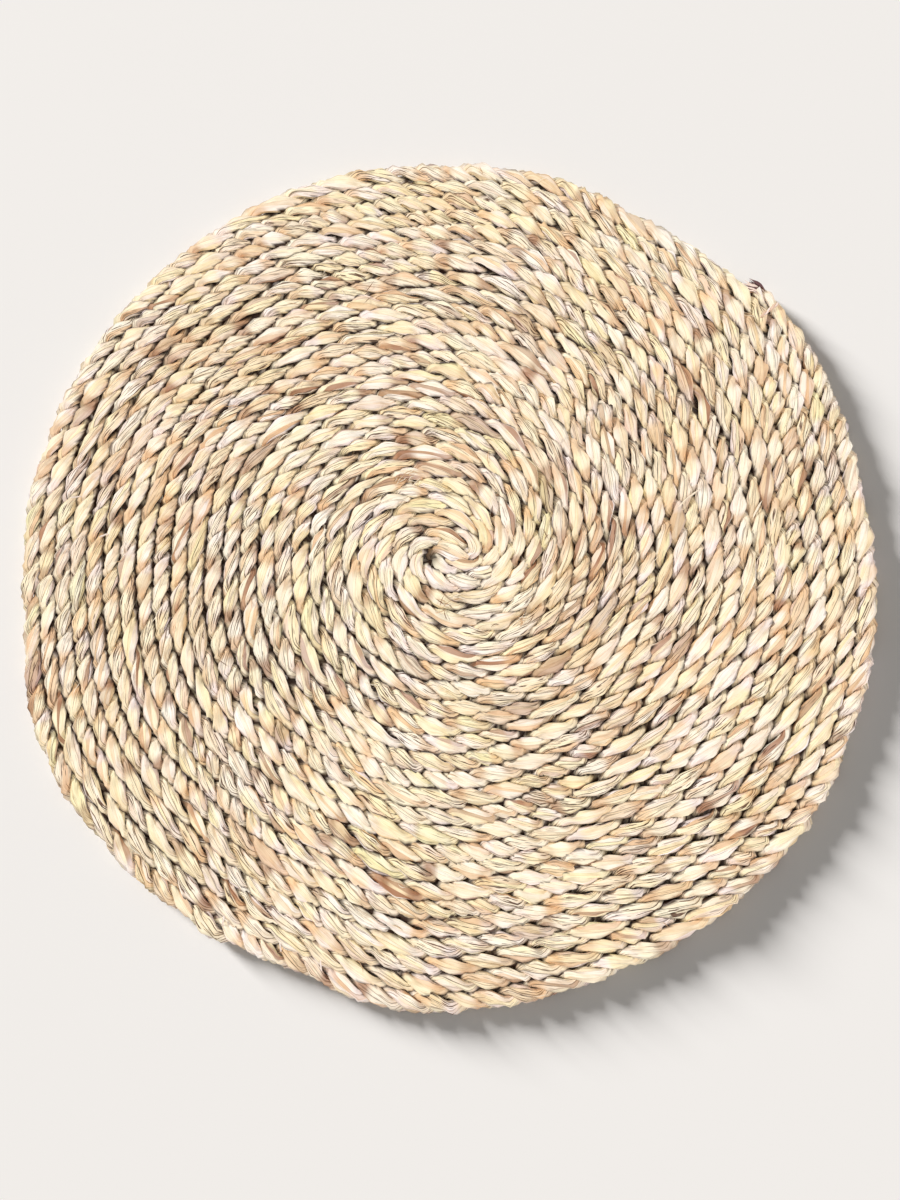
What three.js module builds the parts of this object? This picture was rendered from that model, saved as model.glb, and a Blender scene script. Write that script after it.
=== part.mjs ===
// A round placemat: one rope of twisted leaf, wound flat turn against turn, its outer end lashed down.
// Millimetres, +Z up. The origin lies on the table under the middle of the mat's box.
import * as THREE from "three";

// Driving dimensions of the wound rope.
const ROPE_PITCH = 7.36; // from one turn to the next, which is also the rope's width
const MAT_THICKNESS = 7.0;
const GROOVE_DEPTH = 3.0; // from the rope's top down to the groove between two turns
const WHOLE_TURNS = 25;
const START_DEG = 180; // where the rope starts, half a pitch from the middle
const END_DEG = 42; // where the rope's outer end is lashed, in the turn after the last whole one
const UNDERCUT = 1.3; // how far the rim's foot lies inside its widest line

// The last stretch of the rope, which thins towards its cut end.
const END_TAPER_DEG = 24;
const END_WIDTH_LEFT = 0.5;
const END_HEIGHT_LEFT = 0.75;

// Points across one turn of rope, from its inner groove outwards.
const ROPE_SECTION = [
  { across: 0.0, rise: 0.0 },
  { across: 0.3, rise: 1.0 },
  { across: 0.7, rise: 1.0 },
];

// Where the hand-wound rim swells out or draws in.
const RIM_SWELLS = [
  { atDeg: 170, out: -1.4, spreadDeg: 24 },
  { atDeg: 205, out: 2.4, spreadDeg: 15 },
  { atDeg: 243, out: -4.0, spreadDeg: 17 },
  { atDeg: 330, out: 1.6, spreadDeg: 22 },
];
const SWELL_FADE = 3; // power by which a swell fades from the rim to the middle

// The strand that ties the outer end down.
const LASHING_DEG = 37; // on the last turn, just before the rope's cut end
const LASHING_WIDTH = 2.6;
const LASHING_THICKNESS = 1.0;
const LASHING_GAP = 0.3;
const LASHING_INNER_RISE = 0.5; // where it dips into the inner groove, as a share of the groove's depth
const LASHING_FOOT = 1.0; // height of its outer end above the table

// Steps of the wound mesh.
const STEPS_PER_TURN = 60;
const STEP_DEG = 360 / STEPS_PER_TURN;
const LAST_STEP = Math.round((WHOLE_TURNS * 360 + END_DEG - START_DEG) / STEP_DEG);
const GROOVE_HEIGHT = MAT_THICKNESS - GROOVE_DEPTH;
const SECTION_POINTS = ROPE_SECTION.length;

const MAT_RADIUS = ROPE_PITCH * (WHOLE_TURNS + END_DEG / 360 + 0.5);

const leafRope = new THREE.MeshStandardMaterial({ color: 0xdcc6a4, roughness: 0.75, metalness: 0 });
const leafStrand = new THREE.MeshStandardMaterial({ color: 0xc9ab88, roughness: 0.8, metalness: 0 });

// How far the swells move a point of the mat outwards.
function swellAt(radius, deg) {
  const fade = (radius / MAT_RADIUS) ** SWELL_FADE;
  let out = 0;
  for (const swell of RIM_SWELLS) {
    const off = THREE.MathUtils.euclideanModulo(deg - swell.atDeg + 180, 360) - 180;
    out += swell.out * Math.exp(-((off / swell.spreadDeg) ** 2));
  }
  return out * fade;
}

// A point at a radius and height, at the angle of a step along the rope.
function woundPoint(step, radius, height) {
  const deg = START_DEG + step * STEP_DEG;
  const reach = radius + swellAt(radius, deg);
  const angle = THREE.MathUtils.degToRad(deg);
  return new THREE.Vector3(reach * Math.cos(angle), reach * Math.sin(angle), height);
}

// How much of the rope is left at a step: 1 along its length, less towards its cut end.
function leftAtStep(step, leftAtEnd) {
  const degFromEnd = (LAST_STEP - step) * STEP_DEG;
  const along = THREE.MathUtils.clamp(1 - degFromEnd / END_TAPER_DEG, 0, 1);
  return 1 - (1 - leftAtEnd) * along;
}

// The inner groove of the rope at a step.
function grooveRadius(step) {
  return (ROPE_PITCH * step) / STEPS_PER_TURN;
}

// The outer edge of the rope at a step.
function outerRadius(step) {
  return grooveRadius(step) + ROPE_PITCH * leftAtStep(step, END_WIDTH_LEFT);
}

// A point on top of the rope, at a step along it and at a row of the section.
function topPoint(step, row) {
  const { across, rise } = ROPE_SECTION[row];
  const width = ROPE_PITCH * leftAtStep(step, END_WIDTH_LEFT);
  const height = GROOVE_HEIGHT + GROOVE_DEPTH * rise * leftAtStep(step, END_HEIGHT_LEFT);
  return woundPoint(step, grooveRadius(step) + across * width, height);
}

// A closed geometry from shared points and the corners of its triangles.
function geometryFrom(points, corners) {
  const geometry = new THREE.BufferGeometry().setFromPoints(points);
  geometry.setIndex(corners);
  geometry.computeVertexNormals();
  return geometry;
}

// The wound rope as one flat solid: a spiral ridge on top, a round rim and a flat underside.
function ropeCoil() {
  const points = [];
  const corners = [];
  const addPoint = (point) => points.push(point) - 1;

  const top = [];
  for (let step = 0; step <= LAST_STEP; step += 1) {
    top.push(ROPE_SECTION.map((_, row) => addPoint(topPoint(step, row))));
  }
  const firstRimStep = LAST_STEP - STEPS_PER_TURN;
  const rim = [];
  const foot = [];
  for (let step = firstRimStep; step <= LAST_STEP; step += 1) {
    const radius = outerRadius(step);
    // The turn's outer groove is the next turn's inner one, so the first rim point is the last turn's.
    rim.push(step === firstRimStep ? top[LAST_STEP][0] : addPoint(woundPoint(step, radius, GROOVE_HEIGHT)));
    foot.push(addPoint(woundPoint(step, radius - UNDERCUT, 0)));
  }

  // A row of the section at a step, where the row past the last is the next turn's groove or the rim.
  const topIndex = (step, row) => {
    if (row < SECTION_POINTS) return top[step][row];
    return step < firstRimStep ? top[step + STEPS_PER_TURN][0] : rim[step - firstRimStep];
  };

  for (let step = 0; step < LAST_STEP; step += 1) {
    for (let row = 0; row < SECTION_POINTS; row += 1) {
      const inner = topIndex(step, row);
      const outer = topIndex(step, row + 1);
      const nextInner = topIndex(step + 1, row);
      const nextOuter = topIndex(step + 1, row + 1);
      corners.push(inner, outer, nextOuter, inner, nextOuter, nextInner);
    }
  }

  // The start of the rope: its cut face and the floor of the first turn.
  for (let row = 1; row < SECTION_POINTS; row += 1) {
    corners.push(top[0][0], topIndex(0, row + 1), topIndex(0, row));
  }
  for (let step = 1; step < STEPS_PER_TURN; step += 1) {
    corners.push(top[0][0], top[step][0], top[step + 1][0]);
  }

  // The rim, from its widest line down to its foot.
  for (let k = 0; k < STEPS_PER_TURN; k += 1) {
    corners.push(rim[k], foot[k], foot[k + 1], rim[k], foot[k + 1], rim[k + 1]);
  }

  // The cut face at the outer end, from the last turn's groove to the rim.
  const endInner = top[LAST_STEP][0];
  for (let row = 1; row < SECTION_POINTS; row += 1) {
    corners.push(endInner, topIndex(LAST_STEP, row), topIndex(LAST_STEP, row + 1));
  }
  const lastFoot = foot[STEPS_PER_TURN];
  corners.push(endInner, rim[STEPS_PER_TURN], lastFoot, endInner, lastFoot, foot[0]);

  // The flat underside, round its middle point.
  const middle = addPoint(new THREE.Vector3(0, 0, 0));
  for (let k = 0; k < STEPS_PER_TURN - 1; k += 1) {
    corners.push(middle, foot[k + 1], foot[k]);
  }
  const footBeforeLast = foot[STEPS_PER_TURN - 1];
  corners.push(middle, foot[0], footBeforeLast, foot[0], lastFoot, footBeforeLast);

  const coil = new THREE.Mesh(geometryFrom(points, corners), leafRope);
  coil.name = "rope_coil";
  return coil;
}

// The point of a section moved along the normal of the path through its two neighbours.
function offsetPath(path, distance) {
  return path.map((point, k) => {
    const before = path[Math.max(k - 1, 0)];
    const after = path[Math.min(k + 1, path.length - 1)];
    const along = after.clone().sub(before).normalize();
    return new THREE.Vector2(point.x - along.y * distance, point.y + along.x * distance);
  });
}

// The strand over the last turn, a thin strap bent to the rope's own section there.
function endLashing() {
  const alongSteps = (WHOLE_TURNS * 360 + LASHING_DEG - START_DEG) / STEP_DEG;
  const stepOnRope = Math.floor(alongSteps);
  const edgeAt = (step) => [
    ...ROPE_SECTION.map((_, row) => topPoint(step, row)),
    woundPoint(step, outerRadius(step), GROOVE_HEIGHT),
    woundPoint(step, outerRadius(step) - UNDERCUT, 0),
  ];
  const edgeBefore = edgeAt(stepOnRope);
  const edgeAfter = edgeAt(stepOnRope + 1);
  const section = edgeBefore.map((point, k) => point.clone().lerp(edgeAfter[k], alongSteps - stepOnRope));

  // The section lies in the upright plane that looks along the rope.
  const along = edgeAfter[1].clone().sub(edgeBefore[1]).setZ(0).normalize();
  const outward = new THREE.Vector3(along.y, -along.x, 0);
  const [groove, innerShoulder, outerShoulder, rim, foot] = section;
  const inPlane = (point) => new THREE.Vector2(point.dot(outward), point.z);
  const innerEnd = groove.clone().lerp(innerShoulder, LASHING_INNER_RISE);
  const outerEnd = foot.clone().lerp(rim, LASHING_FOOT / GROOVE_HEIGHT);
  const path = [innerEnd, innerShoulder, outerShoulder, rim, outerEnd].map(inPlane);

  const underside = offsetPath(path, LASHING_GAP);
  const topside = offsetPath(path, LASHING_GAP + LASHING_THICKNESS);
  const outline = new THREE.Shape([...underside, ...topside.reverse()]);
  const strap = new THREE.ExtrudeGeometry(outline, { depth: LASHING_WIDTH, bevelEnabled: false });
  strap.translate(0, 0, -LASHING_WIDTH / 2);

  const lashing = new THREE.Mesh(strap, leafStrand);
  const up = new THREE.Vector3(0, 0, 1);
  const across = new THREE.Vector3().crossVectors(outward, up);
  lashing.quaternion.setFromRotationMatrix(new THREE.Matrix4().makeBasis(outward, up, across));
  lashing.position.copy(along).multiplyScalar(section[1].dot(along));
  lashing.name = "end_lashing";
  return lashing;
}

const placemat = new THREE.Group();
placemat.add(ropeCoil(), endLashing());

// The mat's box is centred over the origin.
const box = new THREE.Box3().setFromObject(placemat);
const centre = box.getCenter(new THREE.Vector3());
placemat.position.set(-centre.x, -centre.y, 0);

export default placemat;
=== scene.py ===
"""The looks of a round placemat: one rope of twisted leaf, wound flat and sewn turn to turn.

Sizes are in millimetres and angles in degrees, counter-clockwise from +X. Meshes are made in metres.
"""

from __future__ import annotations

import logging
from dataclasses import dataclass, field, replace
from enum import Enum

import bpy
import numpy as np
from mathutils import Matrix, Vector

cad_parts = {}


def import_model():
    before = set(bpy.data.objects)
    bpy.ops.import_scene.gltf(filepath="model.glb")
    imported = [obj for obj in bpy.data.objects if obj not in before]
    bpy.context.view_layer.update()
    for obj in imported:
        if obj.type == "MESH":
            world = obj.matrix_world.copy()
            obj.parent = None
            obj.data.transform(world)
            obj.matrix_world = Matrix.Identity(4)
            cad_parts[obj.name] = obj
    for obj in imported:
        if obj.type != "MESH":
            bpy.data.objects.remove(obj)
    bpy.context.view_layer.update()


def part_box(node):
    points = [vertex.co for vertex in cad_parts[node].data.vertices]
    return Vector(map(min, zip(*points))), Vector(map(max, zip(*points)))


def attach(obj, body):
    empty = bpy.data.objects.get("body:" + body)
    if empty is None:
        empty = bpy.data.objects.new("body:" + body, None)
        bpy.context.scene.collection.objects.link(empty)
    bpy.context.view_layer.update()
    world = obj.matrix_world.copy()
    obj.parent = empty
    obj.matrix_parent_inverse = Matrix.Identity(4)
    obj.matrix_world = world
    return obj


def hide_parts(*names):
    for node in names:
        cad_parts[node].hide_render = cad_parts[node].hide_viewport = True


LOG = logging.getLogger("placemat")
MM = 0.001
BODY = "root"
Colour = tuple[float, float, float, float]


class Slot(Enum):
    """The record's material slots."""

    ROPE = "leaf_rope"
    STRAND = "leaf_strand"


class Lit(Enum):
    """What a lamp is turned to."""

    MAT = "mat"
    FLOOR = "floor"


class Node(Enum):
    """The CAD nodes that the pieces stand for."""

    COIL = "rope_coil"
    LASHING = "end_lashing"


def smoothstep(low: float, high: float, value: np.ndarray) -> np.ndarray:
    """Eases from 0 to 1 as a value goes from low to high.

    Args:
        low: The value that gives 0.
        high: The value that gives 1.
        value: The values to ease.

    Returns:
        The eased values.
    """
    t = np.clip((value - low) / (high - low), 0.0, 1.0)
    return t * t * (3.0 - 2.0 * t)


def wander(rng: np.random.Generator, count: int, reach: float) -> np.ndarray:
    """Makes a smooth random line with a spread of about 1.

    Args:
        rng: The source of random numbers.
        count: How many values to make.
        reach: Over how many values the line keeps its direction.

    Returns:
        The values of the line.
    """
    half = int(3 * reach)
    kernel = np.exp(-0.5 * (np.arange(-half, half + 1) / reach) ** 2)
    line = np.convolve(rng.normal(size=count + 2 * half), kernel, mode="valid")
    return line / np.sqrt((kernel**2).sum())


def direction(turn: float) -> np.ndarray:
    """The flat direction at an angle in radians, as x and y."""
    return np.array([np.cos(turn), np.sin(turn)])


def length_along(line: np.ndarray) -> np.ndarray:
    """The length of a line up to each of its points."""
    return np.concatenate([[0.0], np.cumsum(np.linalg.norm(np.diff(line, axis=0), axis=1))])


def srgb(red: int, green: int, blue: int) -> Colour:
    """Turns a colour as seen on a screen into the linear colour of a shader.

    Args:
        red: From 0 to 255.
        green: From 0 to 255.
        blue: From 0 to 255.

    Returns:
        The linear colour, with alpha 1.
    """
    c = np.array([red, green, blue]) / 255.0
    linear = np.where(c <= 0.04045, c / 12.92, ((c + 0.055) / 1.055) ** 2.4)
    return (float(linear[0]), float(linear[1]), float(linear[2]), 1.0)


@dataclass(frozen=True)
class Chance:
    """How strongly a mark shows where it is found, and in what share of places it is found."""

    weakest: float
    strongest: float
    share: float

    def draw(self, rng: np.random.Generator, size: tuple[int, ...]) -> np.ndarray:
        """Draws strengths for the share of places, and 0 for the others."""
        return rng.uniform(self.weakest, self.strongest, size) * (rng.uniform(size=size) < self.share)


@dataclass(frozen=True)
class Swell:
    """A place where the hand-wound rim swells out or draws in."""

    at_deg: float
    out: float
    spread_deg: float


@dataclass(frozen=True)
class Winding:
    """The flat spiral that the rope is wound in, as in the part's solids, with its drawn-out eye."""

    pitch: float = 7.36
    thickness: float = 7.0
    whole_turns: int = 25
    start_deg: float = 180.0
    end_deg: float = 42.0
    # The outer end: the solid's thinned end, and the rope's own, which is cut a little before it.
    end_taper_deg: float = 24.0
    end_width_left: float = 0.5
    rope_end_left: float = 0.74
    rope_cut_deg: float = 1.6
    end_height_left: float = 0.9
    # The eye: how far the rope's start is drawn out and moved aside.
    tail_deg: float = 176.0
    eye_shift: tuple[float, float] = (6.0, 2.7)
    eye_shift_fade: float = 70.0
    eye_stretch: float = 5.0
    eye_stretch_fade: float = 32.0
    tail_reach: float = 3.0
    tail_fade: float = 2.2
    # The rim: the solid's swells, and the small strays from it that only the rope has.
    swell_fade: float = 3.0
    swells: tuple[Swell, ...] = (
        Swell(170.0, -1.4, 24.0),
        Swell(205.0, 2.4, 15.0),
        Swell(243.0, -4.0, 17.0),
        Swell(330.0, 1.6, 22.0),
    )
    strays: tuple[Swell, ...] = (
        Swell(11.0, -2.7, 20.0),
        Swell(40.0, 2.6, 7.0),
        Swell(60.0, -3.8, 9.0),
        Swell(96.0, -1.2, 14.0),
        Swell(136.0, -3.0, 22.0),
        Swell(184.0, -2.8, 11.0),
        Swell(251.0, -2.2, 6.0),
        Swell(268.0, 1.4, 10.0),
    )

    @property
    def first_deg(self) -> float:
        """The angle of the rope's inner end, tucked away in the eye."""
        return self.start_deg - self.tail_deg

    @property
    def last_deg(self) -> float:
        """The angle of the rope's outer end, counted from its first turn."""
        return 360.0 * self.whole_turns + self.end_deg

    @property
    def rim_radius(self) -> float:
        """The radius of the rim at the rope's outer end."""
        return self.pitch * (self.whole_turns + self.end_deg / 360.0 + 0.5)

    def groove_radius(self, deg: np.ndarray) -> np.ndarray:
        """The radius of the groove inside the rope at an angle along it."""
        return self.pitch * (deg - self.start_deg) / 360.0

    def end_scale(self, deg: np.ndarray, left: float) -> np.ndarray:
        """How much of the rope is left at an angle: 1, and less towards the outer end."""
        along = np.clip(1.0 - (self.last_deg - deg) / self.end_taper_deg, 0.0, 1.0)
        return 1.0 - (1.0 - left) * along

    def swell_at(self, radius: np.ndarray, deg: np.ndarray) -> np.ndarray:
        """Finds how far the swells move points of the mat outwards.

        Args:
            radius: The points' radii.
            deg: The points' angles.

        Returns:
            The outward moves.
        """
        out = np.zeros_like(deg)
        for swell in (*self.swells, *self.strays):
            off = (deg - swell.at_deg + 180.0) % 360.0 - 180.0
            out += swell.out * np.exp(-((off / swell.spread_deg) ** 2))
        return out * (np.abs(radius) / self.rim_radius) ** self.swell_fade

    def place(self, radius: np.ndarray, deg: np.ndarray) -> np.ndarray:
        """Places points of the spiral in the mat, with its swells and its drawn-out eye.

        Args:
            radius: The points' radii on the even spiral.
            deg: The points' angles.

        Returns:
            The points from the spiral's middle, with x and y last.
        """
        turn = np.radians(deg)
        reach = radius + self.swell_at(radius, deg)
        shift = np.exp(-((radius / self.eye_shift_fade) ** 2))
        stretch = self.eye_stretch * np.exp(-((radius / self.eye_stretch_fade) ** 2))
        stretch = stretch + self.tail_reach * np.exp(-((radius / self.tail_fade) ** 2))
        x = (reach + stretch) * np.cos(turn) + self.eye_shift[0] * shift
        y = reach * np.sin(turn) + self.eye_shift[1] * shift
        return np.stack([x, y], axis=-1)

    def centre(self) -> np.ndarray:
        """Finds the spiral's middle in the frame, from the wound solid's box.

        Returns:
            The middle's x and y.
        """
        deg = np.arange(self.last_deg - 360.0, self.last_deg + 1.0, 6.0)
        rim_radius = self.groove_radius(deg) + self.pitch * self.end_scale(deg, self.end_width_left)
        rim = replace(self, strays=()).place(rim_radius, deg)
        low, high = (np.array(corner[:2]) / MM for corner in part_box(Node.COIL.value))
        return (low + high) / 2.0 - (rim.min(axis=0) + rim.max(axis=0)) / 2.0


@dataclass
class MeshParts:
    """Tubes gathered for one joined mesh, with named values at their points and their own flat chart.

    The chart lays the tubes' skins in rows, so that a finish can be kept on the mesh without stretching.
    """

    chart_columns: int
    ring_room: int
    points: list[np.ndarray] = field(default_factory=list)
    faces: list[np.ndarray] = field(default_factory=list)
    charts: list[np.ndarray] = field(default_factory=list)
    lines: list[np.ndarray] = field(default_factory=list)
    values: dict[str, list[np.ndarray]] = field(default_factory=dict)
    count: int = 0
    charted: int = 0

    def add_tube(self, rings: np.ndarray, crisp: tuple[int, ...] = (), **values: np.ndarray) -> None:
        """Adds a tube of rings of points, closed at both ends.

        Args:
            rings: The points, as rings by points by 3, clockwise as seen along the tube.
            crisp: Which points of a ring lie on lines that stay sharp along the tube.
            values: Named values for each point, as rings by points, or colours with 4 numbers last.
        """
        steps, around = rings.shape[:2]
        index = self.count + np.arange(steps * around).reshape(steps, around)
        ahead = np.roll(index, -1, axis=1)
        quads = np.stack([index[:-1], ahead[:-1], ahead[1:], index[1:]], axis=-1)
        self.points.append(rings.reshape(-1, 3))
        self.faces += [quads.reshape(-1, 4), index[0][::-1][None, :], index[-1][None, :]]
        line = np.full(around, -1)
        line[list(crisp)] = crisp
        self.lines.append(np.tile(line, steps))
        for name, value in values.items():
            self.values.setdefault(name, []).append(value.reshape(steps * around, -1))
        self.chart_tube(steps, around)
        self.count += steps * around

    def chart_tube(self, steps: int, around: int) -> None:
        """Lays a tube's skin into the chart's next free columns.

        Args:
            steps: The tube's rings.
            around: The points of each ring.
        """
        place = self.charted + np.arange(steps - 1)
        column = np.broadcast_to((place % self.chart_columns)[:, None], (steps - 1, around))
        row = (place // self.chart_columns)[:, None] * (self.ring_room + 2) + np.arange(around)[None, :]
        across = np.stack([column, column, column + 1, column + 1], axis=-1) + 0.5
        upward = np.stack([row, row + 1, row + 1, row], axis=-1) + 0.5
        end = np.zeros((2 * around, 2))
        end[:around] = (column[0, 0] + 0.5, row[0, 0] + 0.5)
        end[around:] = (column[-1, 0] + 0.5, row[-1, 0] + 0.5)
        self.charts += [np.stack([across, upward], axis=-1).reshape(-1, 2), end]
        self.charted += steps

    def mesh(self, name: str) -> bpy.types.Mesh:
        """Makes the joined mesh, in metres, with its point values as attributes and its chart as a map.

        Args:
            name: The mesh's name.

        Returns:
            The mesh.
        """
        mesh = bpy.data.meshes.new(name)
        points = np.concatenate(self.points) * MM
        corners = np.concatenate([face.ravel() for face in self.faces])
        sizes = np.concatenate([np.full(len(face), face.shape[1]) for face in self.faces])
        mesh.vertices.add(len(points))
        mesh.vertices.foreach_set("co", points.astype(np.float32).ravel())
        mesh.loops.add(len(corners))
        mesh.loops.foreach_set("vertex_index", corners.astype(np.int32))
        mesh.polygons.add(len(sizes))
        mesh.polygons.foreach_set("loop_start", (np.cumsum(sizes) - sizes).astype(np.int32))
        mesh.update(calc_edges=True)
        mesh.shade_smooth()
        ends = np.empty(2 * len(mesh.edges), dtype=np.int32)
        mesh.edges.foreach_get("vertices", ends)
        line = np.concatenate(self.lines)[ends.reshape(-1, 2)]
        is_crisp = (line[:, 0] >= 0) & (line[:, 0] == line[:, 1])
        mesh.attributes.new("sharp_edge", "BOOLEAN", "EDGE").data.foreach_set("value", is_crisp)
        for label, parts in self.values.items():
            value = np.concatenate(parts).astype(np.float32)
            if value.shape[1] == 4:
                mesh.attributes.new(label, "FLOAT_COLOR", "POINT").data.foreach_set("color", value.ravel())
            else:
                mesh.attributes.new(label, "FLOAT", "POINT").data.foreach_set("value", value.ravel())
        rows = self.charted // self.chart_columns + 1
        room = np.array([self.chart_columns + 2, rows * (self.ring_room + 2)])
        chart = np.concatenate(self.charts) / room
        mesh.uv_layers.new(name="OFBake").data.foreach_set("uv", chart.astype(np.float32).ravel())
        return mesh


def place_piece(
    name: str, mesh: bpy.types.Mesh, material: bpy.types.Material
) -> bpy.types.Object:
    """Puts a finished mesh into the scene as a piece that rides on the mat.

    Args:
        name: The piece's name.
        mesh: Its mesh.
        material: Its finish.

    Returns:
        The piece.
    """
    mesh.materials.append(material)
    piece = bpy.data.objects.new(name, mesh)
    bpy.context.scene.collection.objects.link(piece)
    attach(piece, BODY)
    LOG.info("%s: %d faces", name, len(mesh.polygons))
    return piece


@dataclass(frozen=True)
class Streaks:
    """Marks drawn out along the leaf: how many in each millimetre and round a ply, and how they show.

    Noise up to low leaves no mark, and noise from high on leaves a whole one.
    """

    along: float
    around: float
    detail: float
    low: float
    high: float
    strength: float


class ShaderTree:
    """A short way to write a material's nodes."""

    def __init__(self, name: str) -> None:
        """Starts a material with one surface shader."""
        self.material = bpy.data.materials.new(name)
        self.material.use_nodes = True
        self.tree = self.material.node_tree
        self.shader = self.tree.nodes["Principled BSDF"]

    def node(self, kind: str, **settings: object) -> bpy.types.Node:
        """Adds a node.

        Args:
            kind: The node's type.
            settings: Its properties.

        Returns:
            The node.
        """
        made = self.tree.nodes.new(kind)
        for key, value in settings.items():
            setattr(made, key, value)
        return made

    def feed(self, socket: bpy.types.NodeSocket, value: object) -> None:
        """Links a socket to an output, or sets it to a constant."""
        if isinstance(value, bpy.types.NodeSocket):
            self.tree.links.new(value, socket)
        else:
            socket.default_value = value

    def value(self, name: str) -> bpy.types.NodeSocket:
        """The mesh's own value of that name."""
        return self.node("ShaderNodeAttribute", attribute_name=name).outputs["Fac"]

    def tint(self, name: str) -> bpy.types.NodeSocket:
        """The mesh's own colour of that name."""
        return self.node("ShaderNodeAttribute", attribute_name=name).outputs["Color"]

    def math(self, operation: str, first: object, second: object = 0.0) -> bpy.types.NodeSocket:
        """Adds a sum of two values.

        Args:
            operation: Blender's name of the sum.
            first: The first value or output.
            second: The second value or output.

        Returns:
            The result.
        """
        made = self.node("ShaderNodeMath", operation=operation)
        self.feed(made.inputs[0], first)
        self.feed(made.inputs[1], second)
        return made.outputs[0]

    def spread(
        self, value: object, low: float, high: float, to_low: float = 0.0, to_high: float = 1.0
    ) -> bpy.types.NodeSocket:
        """Maps a value from one range to another.

        Args:
            value: The value or output.
            low: The start of its range.
            high: The end of its range.
            to_low: What the start becomes.
            to_high: What the end becomes.

        Returns:
            The mapped value.
        """
        made = self.node("ShaderNodeMapRange", clamp=True)
        for socket, item in zip(made.inputs, (value, low, high, to_low, to_high)):
            self.feed(socket, item)
        return made.outputs[0]

    def mix(self, blend: str, share: object, first: object, second: object) -> bpy.types.NodeSocket:
        """Mixes two colours.

        Args:
            blend: Blender's name of the way to mix.
            share: How much of the second colour.
            first: The first colour or output.
            second: The second colour or output.

        Returns:
            The mixed colour.
        """
        made = self.node("ShaderNodeMix", data_type="RGBA", blend_type=blend)
        self.feed(made.inputs["Factor"], share)
        self.feed(made.inputs[6], first)
        self.feed(made.inputs[7], second)
        return made.outputs[2]

    def streaks(self, marks: Streaks) -> bpy.types.NodeSocket:
        """Adds noise that is drawn out along the leaf.

        Args:
            marks: The marks that the noise makes.

        Returns:
            The noise, from 0 to 1.
        """
        place = self.node("ShaderNodeCombineXYZ")
        self.feed(place.inputs[0], self.math("MULTIPLY", self.value("along"), marks.along))
        self.feed(place.inputs[1], self.math("MULTIPLY", self.value("around"), marks.around))
        self.feed(place.inputs[2], self.value("strand"))
        made = self.node("ShaderNodeTexNoise")
        self.feed(made.inputs["Vector"], place.outputs[0])
        self.feed(made.inputs["Scale"], 1.0)
        self.feed(made.inputs["Detail"], marks.detail)
        self.feed(made.inputs["Roughness"], 0.6)
        return made.outputs["Fac"]

    def bump(self, height: bpy.types.NodeSocket, strength: float, depth: float) -> None:
        """Raises the shader's surface by a height.

        Args:
            height: The output that holds the height, from 0 to 1.
            strength: How strongly it shows.
            depth: How deep it is, in millimetres.
        """
        made = self.node("ShaderNodeBump")
        self.feed(made.inputs["Strength"], strength)
        self.feed(made.inputs["Distance"], depth * MM)
        self.feed(made.inputs["Height"], height)
        self.feed(self.shader.inputs["Normal"], made.outputs[0])


@dataclass(frozen=True)
class LeafFinish:
    """Dried leaf: its own colours, fine lengthwise veins and splits, and painted dark brown shade in its
    creases and where it is tucked away.
    """

    name: str = "dried_leaf"
    # Painted shade colours: the dark brown where the leaf is tucked away, and the dark brown in its
    # creases.
    tucked: Colour = srgb(50, 29, 15)
    crease: Colour = srgb(62, 38, 22)
    vein: Colour = srgb(222, 190, 150)
    split: Colour = srgb(92, 58, 36)
    veins: Streaks = Streaks(0.07, 90.0, 3.0, 0.5, 0.72, 0.7)
    splits: Streaks = Streaks(0.12, 34.0, 1.0, 0.58, 0.62, 0.95)
    bands: Streaks = Streaks(0.10, 8.0, 2.0, 0.5, 0.8, 0.5)
    crease_strength: float = 0.9
    smoothest: float = 0.42
    roughest: float = 0.64
    shine: float = 0.4
    relief_strength: float = 0.6
    relief_depth: float = 0.14

    def build(self) -> bpy.types.Material:
        """Makes the finish's material.

        Returns:
            The material.
        """
        tree = ShaderTree(self.name)
        veins = tree.streaks(self.veins)
        splits = tree.spread(tree.streaks(self.splits), self.splits.low, self.splits.high)
        splits = tree.math("MULTIPLY", splits, tree.value("split"))
        colour = tree.tint("leaf")
        for marks, noise in ((self.bands, tree.streaks(self.bands)), (self.veins, veins)):
            share = tree.spread(noise, marks.low, marks.high, 0.0, marks.strength)
            colour = tree.mix("MULTIPLY", share, colour, self.vein)
        colour = tree.mix("MIX", tree.math("MULTIPLY", splits, self.splits.strength), colour, self.split)
        # Painted shade: darkens the leaf towards dark brown where it is tucked into the grooves and under
        # the other ply.
        colour = tree.mix("MULTIPLY", tree.value("tuck"), colour, self.tucked)
        # Painted shade in the creases between strips, stronger the deeper the crease.
        crease = tree.math("MULTIPLY", tree.value("crease"), self.crease_strength)
        tree.feed(tree.shader.inputs["Base Color"], tree.mix("MIX", crease, colour, self.crease))
        rough = tree.spread(veins, 0.3, 0.7, self.smoothest, self.roughest)
        tree.feed(tree.shader.inputs["Roughness"], rough)
        tree.feed(tree.shader.inputs["Specular IOR Level"], self.shine)
        relief = tree.math("SUBTRACT", tree.math("MULTIPLY", veins, 0.5), splits)
        tree.bump(relief, self.relief_strength, self.relief_depth)
        return tree.material


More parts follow.
